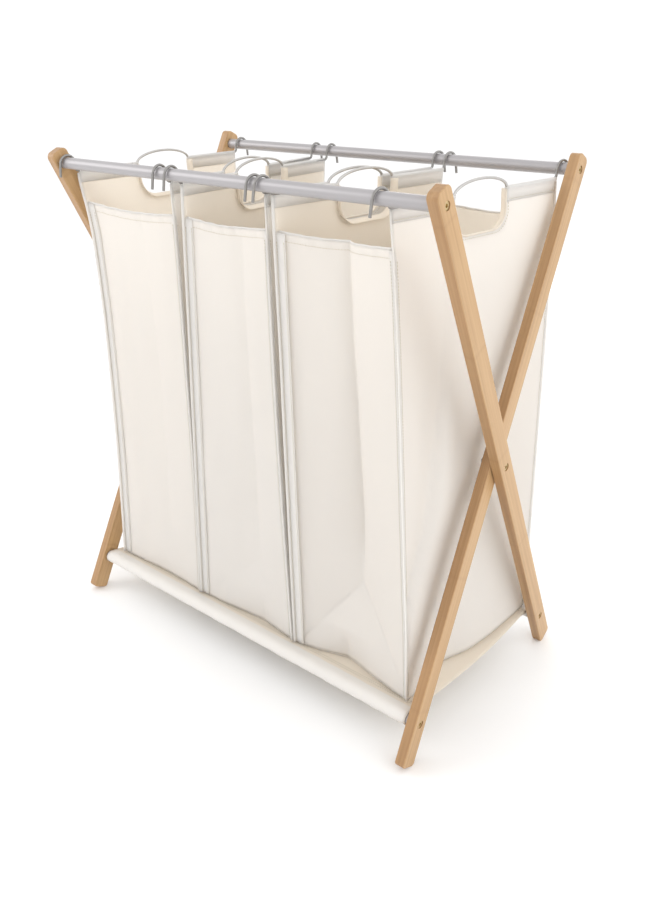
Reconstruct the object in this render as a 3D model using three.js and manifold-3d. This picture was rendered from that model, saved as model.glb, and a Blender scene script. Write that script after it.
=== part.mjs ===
// Three-bag laundry sorter on a folding X-frame.
// Millimetres, +Z up, X along the tubes (right end is +X), Y from front to back.
// The origin is on the floor, under the middle of the frame.
import * as THREE from 'three';
import { mergeVertices } from 'three/addons/utils/BufferGeometryUtils.js';
import Module from 'manifold-3d';

const wasm = await Module();
wasm.setup();

// ---- driving dimensions -------------------------------------------------
const FRAME_LENGTH = 660; // over the outer faces of the legs
const TOP_SPACING = 350; // between the axes of the two top tubes
const BOTTOM_SPACING = 308; // between the axes of the two bottom tubes
const TOP_TUBE_Z = 716;
const BOTTOM_TUBE_Z = 55;

const LEG_THICKNESS = 14;
const LEG_WIDTH = 27;
const LEG_TOP_OVERHANG = 19.5; // past the axis of the top tube
const LEG_FOOT_OVERHANG = 57; // past the axis of the bottom tube
const LEG_TOP_RADIUS = 8;
const LEG_FOOT_RADIUS = 5;
const LEG_EDGE_BEVEL = 0.8;
const LEG_GAP = 1.2; // between the two crossing legs of one end

const TUBE_RADIUS = 8;
const TUBE_WALL = 1.2;
const CLEARANCE = 0.3; // between pieces that touch
const INSERT_LENGTH = 24;

const SCREW_RADIUS = 3;
const SCREW_HEAD_RADIUS = 5;
const SCREW_HEAD_HEIGHT = 3;
const SCREW_HEAD_DEPTH = 1; // of the head's top below the leg's face
const SOCKET_RADIUS = 2.3;
const SOCKET_DEPTH = 1.8;
const SCREW_IN_TUBE = 17;
const NUT_RADIUS = 5.5;
const NUT_HEIGHT = 4;
const WASHER_RADIUS = 7;

const WIRE_RADIUS = 1.8;
const HOOK_RADIUS = 11.5; // of the wire's axis, round the tube
const HOOK_CROWN_GAP = 0.8; // over the tube
const HOOK_TIP_Z = 697;
const HOOK_SPLAY = 5; // sideways, from the hook's crown to its tip
const HEM_WIRE_Z = 704.3;
const HEM_CORNER_RADIUS = 5;
const ARCH_HALF_WIDTH = 52;
const ARCH_RISE = 16;
const ARCH_FOOT_RADIUS = 6;

const BAG_WALL = 1.6;
const BAG_LEVELS = 6; // rings of facets up a bag's walls, which twist a little
const BAG_TOP_HALF_DEPTH = 158;
const BAG_BOTTOM_FRONT_DEPTH = 136; // from the middle of the sorter to the front of a bag's base
const BAG_BOTTOM_REAR_DEPTH = 150;
const BAG_BOTTOM_Z = 66;
const BAG_SIDE_TOP_Z = 700;
const BAG_PANEL_TOP_Z = 660; // front and back panels
const NOTCH_HALF_WIDTH = 50;
const NOTCH_BOTTOM_Z = 657;
const NOTCH_RADIUS = 16;

const SLING_CLOTH = 1.2;
const SLING_SAG = 7;
const SLING_END_GAP = 4; // from the cloth's end to the leg

// X of each bag's left and right side panel, where its wires cross the front
// and the rear tube, and at the front and the rear of its base.
const BAGS = [
  {
    name: 'bag_1', front: [-292, -95], rear: [-292, -126],
    baseFront: [-293, -108], baseRear: [-293, -108],
  },
  {
    name: 'bag_2', front: [-73, 71], rear: [-95, 101],
    baseFront: [-103, 86], baseRear: [-103, 86],
  },
  {
    name: 'bag_3', front: [84, 251], rear: [120, 289],
    baseFront: [91, 283], baseRear: [91, 303],
  },
];

// ---- worked-out dimensions ----------------------------------------------
const HALF_LENGTH = FRAME_LENGTH / 2;
const LEG_RISE = TOP_TUBE_Z - BOTTOM_TUBE_Z;
const LEG_RUN = (TOP_SPACING + BOTTOM_SPACING) / 2;
const LEG_SPAN = Math.hypot(LEG_RISE, LEG_RUN);
const LEG_TILT = Math.atan2(LEG_RUN, LEG_RISE);
const PIVOT_FROM_BOTTOM = LEG_SPAN * BOTTOM_SPACING / (TOP_SPACING + BOTTOM_SPACING);
const PIVOT_Z = BOTTOM_TUBE_Z + LEG_RISE * BOTTOM_SPACING / (TOP_SPACING + BOTTOM_SPACING);
const INNER_LEG_OUTER = HALF_LENGTH - LEG_THICKNESS - LEG_GAP;
const OUTER_LEG_INNER = HALF_LENGTH - LEG_THICKNESS;
const INNER_LEG_INNER = INNER_LEG_OUTER - LEG_THICKNESS;

// ---- materials ----------------------------------------------------------
const bamboo = new THREE.MeshStandardMaterial({ color: 0xd9a566, roughness: 0.55 });
const tubeCoat = new THREE.MeshStandardMaterial({ color: 0xb9b6bd, roughness: 0.4, metalness: 0.6 });
const wireSteel = new THREE.MeshStandardMaterial({ color: 0x9a9794, roughness: 0.35, metalness: 0.8 });
const brass = new THREE.MeshStandardMaterial({ color: 0xb08d57, roughness: 0.35, metalness: 0.9 });
const darkSteel = new THREE.MeshStandardMaterial({ color: 0x4a4542, roughness: 0.5, metalness: 0.8 });
const nylon = new THREE.MeshStandardMaterial({ color: 0x3b3b3d, roughness: 0.6 });
const cloth = new THREE.MeshStandardMaterial({ color: 0xf1ecdf, roughness: 0.95 });
const slingCloth = new THREE.MeshStandardMaterial({ color: 0xece6e0, roughness: 0.95 });

// ---- solids -------------------------------------------------------------
function solid(geometry) {
  const bare = geometry.index ? geometry.toNonIndexed() : geometry.clone();
  for (const name of Object.keys(bare.attributes)) {
    if (name !== 'position') {
      bare.deleteAttribute(name);
    }
  }
  const merged = mergeVertices(bare, 1e-4);
  return new wasm.Manifold(new wasm.Mesh({
    numProp: 3,
    vertProperties: new Float32Array(merged.attributes.position.array),
    triVerts: new Uint32Array(merged.index.array),
  }));
}

function toGeometry(manifold) {
  const mesh = manifold.getMesh();
  const geometry = new THREE.BufferGeometry();
  geometry.setAttribute('position', new THREE.BufferAttribute(mesh.vertProperties, 3));
  geometry.setIndex(new THREE.BufferAttribute(mesh.triVerts, 1));
  geometry.computeVertexNormals();
  return geometry;
}

function named(name, geometry, material) {
  const mesh = new THREE.Mesh(geometry, material);
  mesh.name = name;
  return mesh;
}

// A cylinder along X, from x0 to x1.
function rod(radius, x0, x1, sides = 20) {
  const geometry = new THREE.CylinderGeometry(radius, radius, x1 - x0, sides);
  geometry.rotateZ(Math.PI / 2);
  geometry.translate((x0 + x1) / 2, 0, 0);
  return geometry;
}

// A hollow cylinder along X, from x0 to x1.
function pipe(outer, inner, x0, x1, sides = 24) {
  return toGeometry(solid(rod(outer, x0, x1, sides)).subtract(solid(rod(inner, x0 - 1, x1 + 1, sides))));
}

// ---- legs ---------------------------------------------------------------
// A leg lies in its own frame with the bottom tube's axis at the origin and the top tube's axis
// at z = LEG_SPAN. Its low corner, on the side given by footSide, is cut level with the floor.
// outward is +1 where the leg's outer face looks towards +X.
function legGeometry(footSide, outward, counterboredAtPivot) {
  const half = LEG_WIDTH / 2;
  const top = LEG_SPAN + LEG_TOP_OVERHANG;
  const foot = -LEG_FOOT_OVERHANG;
  const outline = new THREE.Shape();
  const quarter = Math.PI / 2;
  outline.moveTo(-half, foot + LEG_FOOT_RADIUS);
  outline.absarc(-half + LEG_FOOT_RADIUS, foot + LEG_FOOT_RADIUS, LEG_FOOT_RADIUS, 2 * quarter, 3 * quarter);
  outline.absarc(half - LEG_FOOT_RADIUS, foot + LEG_FOOT_RADIUS, LEG_FOOT_RADIUS, 3 * quarter, 4 * quarter);
  outline.absarc(half - LEG_TOP_RADIUS, top - LEG_TOP_RADIUS, LEG_TOP_RADIUS, 0, quarter);
  outline.absarc(-half + LEG_TOP_RADIUS, top - LEG_TOP_RADIUS, LEG_TOP_RADIUS, quarter, 2 * quarter);
  const blank = new THREE.ExtrudeGeometry(outline, {
    depth: LEG_THICKNESS - 2 * LEG_EDGE_BEVEL,
    bevelEnabled: true,
    bevelSegments: 1,
    bevelSize: LEG_EDGE_BEVEL,
    bevelThickness: LEG_EDGE_BEVEL,
    bevelOffset: -LEG_EDGE_BEVEL,
    curveSegments: 5,
  });
  blank.translate(0, 0, -LEG_THICKNESS / 2 + LEG_EDGE_BEVEL);
  blank.applyMatrix4(new THREE.Matrix4().makeBasis(
    new THREE.Vector3(0, 1, 0), new THREE.Vector3(0, 0, 1), new THREE.Vector3(1, 0, 0)));
  let leg = solid(blank);

  const face = outward * LEG_THICKNESS / 2;
  const boreDepth = SCREW_HEAD_HEIGHT + SCREW_HEAD_DEPTH + CLEARANCE;
  for (const z of [0, PIVOT_FROM_BOTTOM, LEG_SPAN]) {
    const hole = rod(SCREW_RADIUS + CLEARANCE, -LEG_THICKNESS, LEG_THICKNESS);
    hole.translate(0, 0, z);
    leg = leg.subtract(solid(hole));
    if (z !== PIVOT_FROM_BOTTOM || counterboredAtPivot) {
      const ends = [face - outward * boreDepth, face + outward];
      const counterbore = rod(SCREW_HEAD_RADIUS + CLEARANCE, Math.min(...ends), Math.max(...ends));
      counterbore.translate(0, 0, z);
      leg = leg.subtract(solid(counterbore));
    }
  }

  const floorBlock = new THREE.BoxGeometry(4 * LEG_THICKNESS, 8 * LEG_WIDTH, 4 * LEG_WIDTH);
  floorBlock.translate(0, 0, -BOTTOM_TUBE_Z - 2 * LEG_WIDTH);
  floorBlock.rotateX(footSide * LEG_TILT);
  return toGeometry(leg.subtract(solid(floorBlock)));
}

// ---- tubes and their fasteners --------------------------------------------
function tubeWithInserts(group, name, ends, y, z) {
  const [left, right] = ends;
  const place = (mesh) => {
    mesh.position.set(0, y, z);
    group.add(mesh);
  };
  place(named(`tube_${name}`,
    pipe(TUBE_RADIUS, TUBE_RADIUS - TUBE_WALL, left + CLEARANCE, right - CLEARANCE), tubeCoat));
  const insertRadius = TUBE_RADIUS - TUBE_WALL - CLEARANCE;
  const bore = SCREW_RADIUS + CLEARANCE;
  const sides = [['left', left, 1], ['right', right, -1]];
  for (const [side, end, inward] of sides) {
    const span = [end + inward * 2 * CLEARANCE, end + inward * INSERT_LENGTH];
    place(named(`insert_${name}_${side}`,
      pipe(insertRadius, bore, Math.min(...span), Math.max(...span), 16), nylon));
    const headTop = end - inward * (LEG_THICKNESS - SCREW_HEAD_DEPTH);
    place(named(`screw_${name}_${side}`, screwGeometry(headTop, inward, end + inward * SCREW_IN_TUBE), brass));
  }
}

// A screw along X with a hex socket in its head. inward points from its head to its tip.
function screwGeometry(headTop, inward, tip) {
  const headBottom = headTop + inward * SCREW_HEAD_HEIGHT;
  const between = (a, b) => [Math.min(a, b), Math.max(a, b)];
  const shank = solid(rod(SCREW_RADIUS, ...between(headBottom - inward, tip), 12));
  const head = solid(rod(SCREW_HEAD_RADIUS, ...between(headTop, headBottom), 20));
  const socket = solid(rod(SOCKET_RADIUS, ...between(headTop - inward, headTop + inward * SOCKET_DEPTH), 6));
  return toGeometry(shank.add(head).subtract(socket));
}

// ---- crossing frames --------------------------------------------------------
// lean is +1 for the frame whose legs rise towards the front. outerEnd is the end, +1 or -1, where
// its leg is the outer one of the pair.
function crossingFrame(letter, lean, outerEnd, topName, bottomName) {
  const group = new THREE.Group();
  for (const end of [-1, 1]) {
    const isOuter = end === outerEnd;
    const inner = isOuter ? OUTER_LEG_INNER : INNER_LEG_INNER;
    const leg = named(`leg_${letter}_${end < 0 ? 'left' : 'right'}`,
      legGeometry(-lean, end, isOuter), bamboo);
    leg.position.set(end * (inner + LEG_THICKNESS / 2), lean * BOTTOM_SPACING / 2, BOTTOM_TUBE_Z);
    leg.rotation.x = lean * LEG_TILT;
    group.add(leg);
  }
  const ends = outerEnd > 0 ? [-INNER_LEG_INNER, OUTER_LEG_INNER] : [-OUTER_LEG_INNER, INNER_LEG_INNER];
  tubeWithInserts(group, topName, ends, -lean * TOP_SPACING / 2, TOP_TUBE_Z);
  tubeWithInserts(group, bottomName, ends, lean * BOTTOM_SPACING / 2, BOTTOM_TUBE_Z);
  return group;
}

// ---- pivots ------------------------------------------------------------------
function pivotHardware(end) {
  const group = new THREE.Group();
  const side = end < 0 ? 'left' : 'right';
  const between = (a, b) => [Math.min(end * a, end * b), Math.max(end * a, end * b)];
  const nutFace = INNER_LEG_INNER - CLEARANCE;
  group.add(named(`pivot_bolt_${side}`, screwGeometry(
    end * (HALF_LENGTH - SCREW_HEAD_DEPTH), -end, end * (nutFace - NUT_HEIGHT + 1)), brass));
  const nut = solid(rod(NUT_RADIUS, ...between(nutFace - NUT_HEIGHT, nutFace), 6));
  const thread = solid(rod(SCREW_RADIUS + CLEARANCE, ...between(nutFace - NUT_HEIGHT - 1, nutFace + 1), 16));
  group.add(named(`pivot_nut_${side}`, toGeometry(nut.subtract(thread)), darkSteel));
  group.add(named(`pivot_washer_${side}`, pipe(WASHER_RADIUS, SCREW_RADIUS + CLEARANCE,
    ...between(INNER_LEG_OUTER + CLEARANCE, OUTER_LEG_INNER - CLEARANCE), 20), nylon));
  group.position.z = PIVOT_Z;
  return group;
}

// ---- wire hangers -------------------------------------------------------------
// Half of a hanger, from the middle of its arch to the tip of its hook, as [distance, height, splay].
function hangerHalf() {
  const points = [];
  const archSteps = 7;
  for (let i = 0; i <= archSteps; i += 1) {
    const a = (i / archSteps) * 0.42 * Math.PI;
    points.push([ARCH_HALF_WIDTH * Math.sin(a), HEM_WIRE_Z + ARCH_RISE * Math.cos(a), 0]);
  }
  const hookY = TOP_SPACING / 2;
  const crownZ = TOP_TUBE_Z + TUBE_RADIUS + HOOK_CROWN_GAP + WIRE_RADIUS;
  const hookZ = crownZ - HOOK_RADIUS;
  const inside = hookY - HOOK_RADIUS;
  points.push([ARCH_HALF_WIDTH + ARCH_FOOT_RADIUS, HEM_WIRE_Z, 0]);
  points.push([ARCH_HALF_WIDTH + 2 * ARCH_FOOT_RADIUS, HEM_WIRE_Z, 0]);
  points.push([inside - 4 * HEM_CORNER_RADIUS, HEM_WIRE_Z, 0]);
  points.push([inside - HEM_CORNER_RADIUS, HEM_WIRE_Z, 0]);
  points.push([inside, hookZ - 1, 0]);
  for (let i = 1; i < 6; i += 1) {
    const a = (i / 6) * Math.PI;
    points.push([hookY - HOOK_RADIUS * Math.cos(a), hookZ + HOOK_RADIUS * Math.sin(a), HOOK_SPLAY * i / 12]);
  }
  points.push([hookY + HOOK_RADIUS, hookZ, HOOK_SPLAY / 2]);
  points.push([hookY + HOOK_RADIUS, HOOK_TIP_Z, HOOK_SPLAY]);
  return points;
}

function hanger(name, frontX, rearX) {
  const half = hangerHalf();
  const at = ([distance, height, splay], side) => {
    const share = 0.5 + side * distance / TOP_SPACING;
    return new THREE.Vector3(
      THREE.MathUtils.lerp(frontX, rearX, share) + side * splay, side * distance, height);
  };
  const front = half.slice(1).reverse().map((p) => at(p, -1));
  const rear = half.map((p) => at(p, 1));
  const route = new THREE.CatmullRomCurve3([...front, ...rear], false, 'centripetal');
  const section = new THREE.Shape();
  section.absarc(0, 0, WIRE_RADIUS, 0, 2 * Math.PI);
  const geometry = new THREE.ExtrudeGeometry(section, {
    extrudePath: route, steps: 78, curveSegments: 3, bevelEnabled: false,
  });
  return named(name, toGeometry(solid(geometry)), wireSteel);
}

// ---- bags -----------------------------------------------------------------------
// A block between z0 and z1 inside the bag's four sloping walls, each moved inwards by inset.
// reach then carries its front and back outwards, along the side walls.
function bagBlock(bag, inset, z0, z1, reach = 0) {
  const share = (z) => (z - BAG_BOTTOM_Z) / (BAG_SIDE_TOP_Z - BAG_BOTTOM_Z);
  const corner = (side, depthSign, z) => {
    const t = share(z);
    const frontDepth = THREE.MathUtils.lerp(BAG_BOTTOM_FRONT_DEPTH, BAG_TOP_HALF_DEPTH, t);
    const rearDepth = THREE.MathUtils.lerp(BAG_BOTTOM_REAR_DEPTH, BAG_TOP_HALF_DEPTH, t);
    const y = depthSign < 0 ? inset - frontDepth - reach : rearDepth - inset + reach;
    const frontX = THREE.MathUtils.lerp(bag.baseFront[side], bag.front[side], t);
    const rearX = THREE.MathUtils.lerp(bag.baseRear[side], bag.rear[side], t);
    const wallX = THREE.MathUtils.lerp(frontX, rearX, (y + frontDepth) / (frontDepth + rearDepth));
    return [wallX + (side === 0 ? inset : -inset), y, z];
  };
  const corners = [];
  const faces = [[0, 3, 2, 1]];
  for (let level = 0; level <= BAG_LEVELS; level += 1) {
    const z = THREE.MathUtils.lerp(z0, z1, level / BAG_LEVELS);
    corners.push(corner(0, -1, z), corner(1, -1, z), corner(1, 1, z), corner(0, 1, z));
    const ring = 4 * level;
    if (level > 0) {
      for (let i = 0; i < 4; i += 1) {
        const next = (i + 1) % 4;
        faces.push([ring - 4 + i, ring - 4 + next, ring + next, ring + i]);
      }
    }
  }
  const last = 4 * BAG_LEVELS;
  faces.push([last, last + 1, last + 2, last + 3]);
  const geometry = new THREE.BufferGeometry();
  geometry.setAttribute('position', new THREE.Float32BufferAttribute(corners.flat(), 3));
  geometry.setIndex(faces.flatMap(([a, b, c, d]) => [a, b, c, a, c, d]));
  return solid(geometry);
}

// The handle notches, cut sideways through both side panels.
function notchBlock() {
  const outline = new THREE.Shape();
  const top = BAG_SIDE_TOP_Z + 10;
  const low = NOTCH_BOTTOM_Z + NOTCH_RADIUS;
  const quarter = Math.PI / 2;
  outline.moveTo(NOTCH_HALF_WIDTH, top);
  outline.lineTo(-NOTCH_HALF_WIDTH, top);
  outline.absarc(-NOTCH_HALF_WIDTH + NOTCH_RADIUS, low, NOTCH_RADIUS, 2 * quarter, 3 * quarter);
  outline.absarc(NOTCH_HALF_WIDTH - NOTCH_RADIUS, low, NOTCH_RADIUS, 3 * quarter, 4 * quarter);
  const geometry = new THREE.ExtrudeGeometry(outline, {
    depth: FRAME_LENGTH, bevelEnabled: false, curveSegments: 5,
  });
  geometry.translate(0, 0, -FRAME_LENGTH / 2);
  geometry.applyMatrix4(new THREE.Matrix4().makeBasis(
    new THREE.Vector3(0, 1, 0), new THREE.Vector3(0, 0, 1), new THREE.Vector3(1, 0, 0)));
  return solid(geometry);
}

function bagGeometry(bag) {
  const outside = bagBlock(bag, 0, BAG_BOTTOM_Z, BAG_SIDE_TOP_Z);
  const inside = bagBlock(bag, BAG_WALL, BAG_BOTTOM_Z + BAG_WALL, BAG_SIDE_TOP_Z + 5);
  // Only the front and back panels are low: the block that lowers them stays just clear of the side panels.
  const lowered = bagBlock(bag, BAG_WALL + CLEARANCE, BAG_PANEL_TOP_Z, BAG_SIDE_TOP_Z + 5, 20);
  return toGeometry(outside.subtract(inside).subtract(lowered).subtract(notchBlock()));
}

// ---- sling -----------------------------------------------------------------------
// One cloth with a sleeve on each bottom tube. Its ends follow the two tubes, which are offset
// sideways from each other by a leg's thickness.
function slingGeometry() {
  const sleeveInner = TUBE_RADIUS + CLEARANCE;
  const sleeveOuter = sleeveInner + SLING_CLOTH;
  const tubeY = BOTTOM_SPACING / 2;
  const sheetTop = BOTTOM_TUBE_Z + sleeveOuter;
  const steps = 8;
  const topLine = [];
  for (let i = 0; i <= steps; i += 1) {
    const y = THREE.MathUtils.lerp(-tubeY, tubeY, i / steps);
    topLine.push(new THREE.Vector2(y, sheetTop - SLING_SAG * (1 - (y / tubeY) ** 2)));
  }
  const underLine = topLine.map((p) => new THREE.Vector2(p.x, p.y - SLING_CLOTH)).reverse();
  const toX = new THREE.Matrix4().makeBasis(
    new THREE.Vector3(0, 1, 0), new THREE.Vector3(0, 0, 1), new THREE.Vector3(1, 0, 0));
  const sheet = new THREE.ExtrudeGeometry(new THREE.Shape([...topLine, ...underLine]), {
    depth: FRAME_LENGTH, bevelEnabled: false,
  });
  sheet.translate(0, 0, -HALF_LENGTH);
  sheet.applyMatrix4(toX);
  let body = solid(sheet);
  for (const y of [-tubeY, tubeY]) {
    const sleeve = rod(sleeveOuter, -HALF_LENGTH, HALF_LENGTH, 24);
    sleeve.translate(0, y, BOTTOM_TUBE_Z);
    body = body.add(solid(sleeve));
  }
  for (const y of [-tubeY, tubeY]) {
    const hollow = rod(sleeveInner, -FRAME_LENGTH, FRAME_LENGTH, 24);
    hollow.translate(0, y, BOTTOM_TUBE_Z);
    body = body.subtract(solid(hollow));
  }
  const edge = tubeY + 2 * sleeveOuter;
  const near = INNER_LEG_INNER - SLING_END_GAP;
  const far = OUTER_LEG_INNER - SLING_END_GAP;
  const plan = new THREE.Shape([
    new THREE.Vector2(-far, -edge),
    new THREE.Vector2(near, -edge),
    new THREE.Vector2(far, edge),
    new THREE.Vector2(-near, edge),
  ]);
  const cutter = new THREE.ExtrudeGeometry(plan, { depth: 2 * BOTTOM_TUBE_Z, bevelEnabled: false });
  return toGeometry(body.intersect(solid(cutter)));
}

// ---- the object --------------------------------------------------------------------
const sorter = new THREE.Group();
sorter.add(crossingFrame('a', 1, 1, 'front_top', 'rear_bottom'));
sorter.add(crossingFrame('b', -1, -1, 'rear_top', 'front_bottom'));
for (const end of [-1, 1]) {
  sorter.add(pivotHardware(end));
}
for (const bag of BAGS) {
  sorter.add(named(bag.name, bagGeometry(bag), cloth));
  sorter.add(hanger(`hanger_${bag.name}_left`, bag.front[0], bag.rear[0]));
  sorter.add(hanger(`hanger_${bag.name}_right`, bag.front[1], bag.rear[1]));
}
sorter.add(named('sling', slingGeometry(), slingCloth));

export default sorter;
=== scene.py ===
"""Looks of the three-bag laundry sorter: bags, hangers, sling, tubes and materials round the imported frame.

Metres, X along the tubes, Y from front to back, Z up. The dimensions below repeat the frame's.
"""
import math

import bpy
from mathutils import Matrix, Vector, geometry, noise


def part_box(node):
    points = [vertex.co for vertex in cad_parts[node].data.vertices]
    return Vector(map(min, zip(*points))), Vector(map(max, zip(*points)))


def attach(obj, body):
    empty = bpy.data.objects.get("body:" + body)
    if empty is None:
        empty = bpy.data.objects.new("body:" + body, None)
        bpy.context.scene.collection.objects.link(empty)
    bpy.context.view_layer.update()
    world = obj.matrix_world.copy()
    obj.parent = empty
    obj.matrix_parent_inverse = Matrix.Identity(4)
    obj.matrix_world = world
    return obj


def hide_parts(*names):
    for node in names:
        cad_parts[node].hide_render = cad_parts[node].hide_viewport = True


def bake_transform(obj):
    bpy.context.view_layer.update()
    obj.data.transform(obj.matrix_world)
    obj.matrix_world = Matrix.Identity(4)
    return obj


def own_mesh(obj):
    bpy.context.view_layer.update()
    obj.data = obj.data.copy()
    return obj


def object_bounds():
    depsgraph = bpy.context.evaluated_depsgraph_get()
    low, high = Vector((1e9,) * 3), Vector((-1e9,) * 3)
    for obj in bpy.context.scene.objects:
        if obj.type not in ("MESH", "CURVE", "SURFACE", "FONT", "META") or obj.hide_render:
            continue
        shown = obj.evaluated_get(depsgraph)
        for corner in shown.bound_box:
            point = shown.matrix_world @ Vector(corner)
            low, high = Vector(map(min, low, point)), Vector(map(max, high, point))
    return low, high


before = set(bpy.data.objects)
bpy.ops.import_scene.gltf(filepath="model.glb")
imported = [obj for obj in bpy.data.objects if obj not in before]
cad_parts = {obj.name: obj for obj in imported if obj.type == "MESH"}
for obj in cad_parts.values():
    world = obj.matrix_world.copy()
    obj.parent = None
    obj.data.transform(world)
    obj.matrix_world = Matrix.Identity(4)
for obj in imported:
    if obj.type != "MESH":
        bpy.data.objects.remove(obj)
cad_low, cad_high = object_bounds()

# ---- camera ----
PLACE_AZIMUTH = math.radians(40.2)  # from straight in front, towards the right end
PLACE_ELEVATION = math.radians(22.1)
CAMERA_DISTANCE = 1.286
AIM_AZIMUTH = math.radians(40.1)
AIM_ELEVATION = math.radians(20.2)
CAMERA_ROLL = math.radians(-0.45)
CAMERA_LENS = 34.3
CAMERA_SHIFT = (0.024, -0.084)
SENSOR_WIDTH = 36.0


def add_camera():
    data = bpy.data.cameras.new("camera")
    data.sensor_width = SENSOR_WIDTH
    data.lens = CAMERA_LENS
    data.shift_x, data.shift_y = CAMERA_SHIFT
    data.clip_start = 0.01
    camera = bpy.data.objects.new("camera", data)
    middle = (Vector(cad_low) + Vector(cad_high)) / 2
    flat = math.cos(PLACE_ELEVATION)
    away = Vector((
        math.sin(PLACE_AZIMUTH) * flat,
        -math.cos(PLACE_AZIMUTH) * flat,
        math.sin(PLACE_ELEVATION),
    ))
    turn = Matrix.Rotation(AIM_AZIMUTH, 4, "Z") @ Matrix.Rotation(math.pi / 2 - AIM_ELEVATION, 4, "X")
    roll = Matrix.Rotation(CAMERA_ROLL, 4, "Z")
    camera.matrix_world = Matrix.Translation(middle + away * CAMERA_DISTANCE) @ turn @ roll
    bpy.context.scene.collection.objects.link(camera)
    bpy.context.scene.camera = camera


# ---- light and floor ----
WORLD_STRENGTH = 1.1
LIT_POINT = (0.0, 0.0, 0.4)
FLOOR_SIZE = 30.0
FLOOR_TONE = 0.95
# Name, place, size and power of each lamp.
LAMPS = (
    ("key", (-1.9, -1.5, 1.6), 1.4, 17.0),
    ("side", (2.4, 0.3, 1.5), 2.6, 15.0),
    ("back", (-0.6, 2.2, 1.4), 1.6, 10.0),
)


def add_area_light(name, place, size, power):
    data = bpy.data.lights.new(name, "AREA")
    data.shape = "SQUARE"
    data.size = size
    data.energy = power
    light = bpy.data.objects.new(name, data)
    light.location = place
    light.rotation_euler = (Vector(LIT_POINT) - Vector(place)).to_track_quat("-Z", "Y").to_euler()
    bpy.context.scene.collection.objects.link(light)


def add_studio():
    bpy.context.scene.view_settings.view_transform = "Standard"
    world = bpy.data.worlds.new("studio")
    world.use_nodes = True
    background = world.node_tree.nodes["Background"]
    set_inputs(background, {"Color": (1.0, 1.0, 1.0, 1.0), "Strength": WORLD_STRENGTH})
    bpy.context.scene.world = world
    for name, place, size, power in LAMPS:
        add_area_light(name, place, size, power)

    bpy.ops.mesh.primitive_plane_add(size=FLOOR_SIZE, location=(0, 0, 0))
    floor = bpy.context.object
    floor.name = "floor"
    material = bpy.data.materials.new("floor")
    material.use_nodes = True
    shader = material.node_tree.nodes["Principled BSDF"]
    set_inputs(shader, {"Base Color": (FLOOR_TONE, FLOOR_TONE, FLOOR_TONE, 1.0), "Roughness": 0.9})
    floor.data.materials.append(material)


# ---- node helpers ----
def set_inputs(node, values):
    for name, value in values.items():
        node.inputs[name].default_value = value


class Nodes:
    """A material's node tree, with short calls for the nodes that the materials share."""

    def __init__(self, name):
        self.material = bpy.data.materials.new(name)
        self.material.use_nodes = True
        self.tree = self.material.node_tree
        self.shader = self.tree.nodes["Principled BSDF"]
        self.output = self.tree.nodes["Material Output"]

    def add(self, kind, **values):
        node = self.tree.nodes.new(kind)
        for key, value in values.items():
            setattr(node, key, value)
        return node

    def link(self, source, target):
        self.tree.links.new(source, target)

    def coordinates(self, scale=(1.0, 1.0, 1.0), rotation=(0.0, 0.0, 0.0), source="Object"):
        texture = self.add("ShaderNodeTexCoord")
        turned = self.add("ShaderNodeMapping")
        turned.inputs["Rotation"].default_value = rotation
        self.link(texture.outputs[source], turned.inputs["Vector"])
        stretched = self.add("ShaderNodeMapping")
        stretched.inputs["Scale"].default_value = scale
        self.link(turned.outputs["Vector"], stretched.inputs["Vector"])
        return stretched.outputs["Vector"]

    def noise(self, vector, scale, detail=4.0, roughness=0.5):
        node = self.add("ShaderNodeTexNoise")
        set_inputs(node, {"Scale": scale, "Detail": detail, "Roughness": roughness})
        self.link(vector, node.inputs["Vector"])
        return node.outputs["Fac"]

    def wave(self, vector, scale, direction="X", distortion=0.0):
        node = self.add("ShaderNodeTexWave", bands_direction=direction)
        set_inputs(node, {"Scale": scale, "Distortion": distortion})
        self.link(vector, node.inputs["Vector"])
        return node.outputs["Fac"]

    def ramp(self, factor, stops):
        node = self.add("ShaderNodeValToRGB")
        elements = node.color_ramp.elements
        while len(elements) < len(stops):
            elements.new(0.5)
        for element, (place, colour) in zip(elements, stops):
            element.position = place
            element.color = (*colour, 1.0)
        self.link(factor, node.inputs["Fac"])
        return node.outputs["Color"]

    def math(self, operation, a, b):
        node = self.add("ShaderNodeMath", operation=operation)
        for socket, value in zip(node.inputs, (a, b)):
            if isinstance(value, (int, float)):
                socket.default_value = value
            else:
                self.link(value, socket)
        return node.outputs["Value"]

    def mix(self, factor, a, b, blend="MIX"):
        node = self.add("ShaderNodeMix", data_type="RGBA", blend_type=blend)
        for index, value in ((0, factor), (6, a), (7, b)):
            socket = node.inputs[index]
            if isinstance(value, (int, float)):
                socket.default_value = value
            elif isinstance(value, tuple):
                socket.default_value = (*value, 1.0)
            else:
                self.link(value, socket)
        return node.outputs[2]

    def spread(self, factor, low, high, start=0.0, end=1.0):
        """low where the factor is start, high where it is end."""
        node = self.add("ShaderNodeMapRange")
        set_inputs(node, {"From Min": start, "From Max": end, "To Min": low, "To Max": high})
        self.link(factor, node.inputs["Value"])
        return node.outputs["Result"]

    def bump(self, height, strength, distance):
        node = self.add("ShaderNodeBump")
        set_inputs(node, {"Strength": strength, "Distance": distance})
        self.link(height, node.inputs["Height"])
        self.link(node.outputs["Normal"], self.shader.inputs["Normal"])
        return node.outputs["Normal"]

    def colour(self, socket):
        self.link(socket, self.shader.inputs["Base Color"])

    def roughness(self, factor, low, high):
        self.link(self.spread(factor, low, high), self.shader.inputs["Roughness"])


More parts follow.
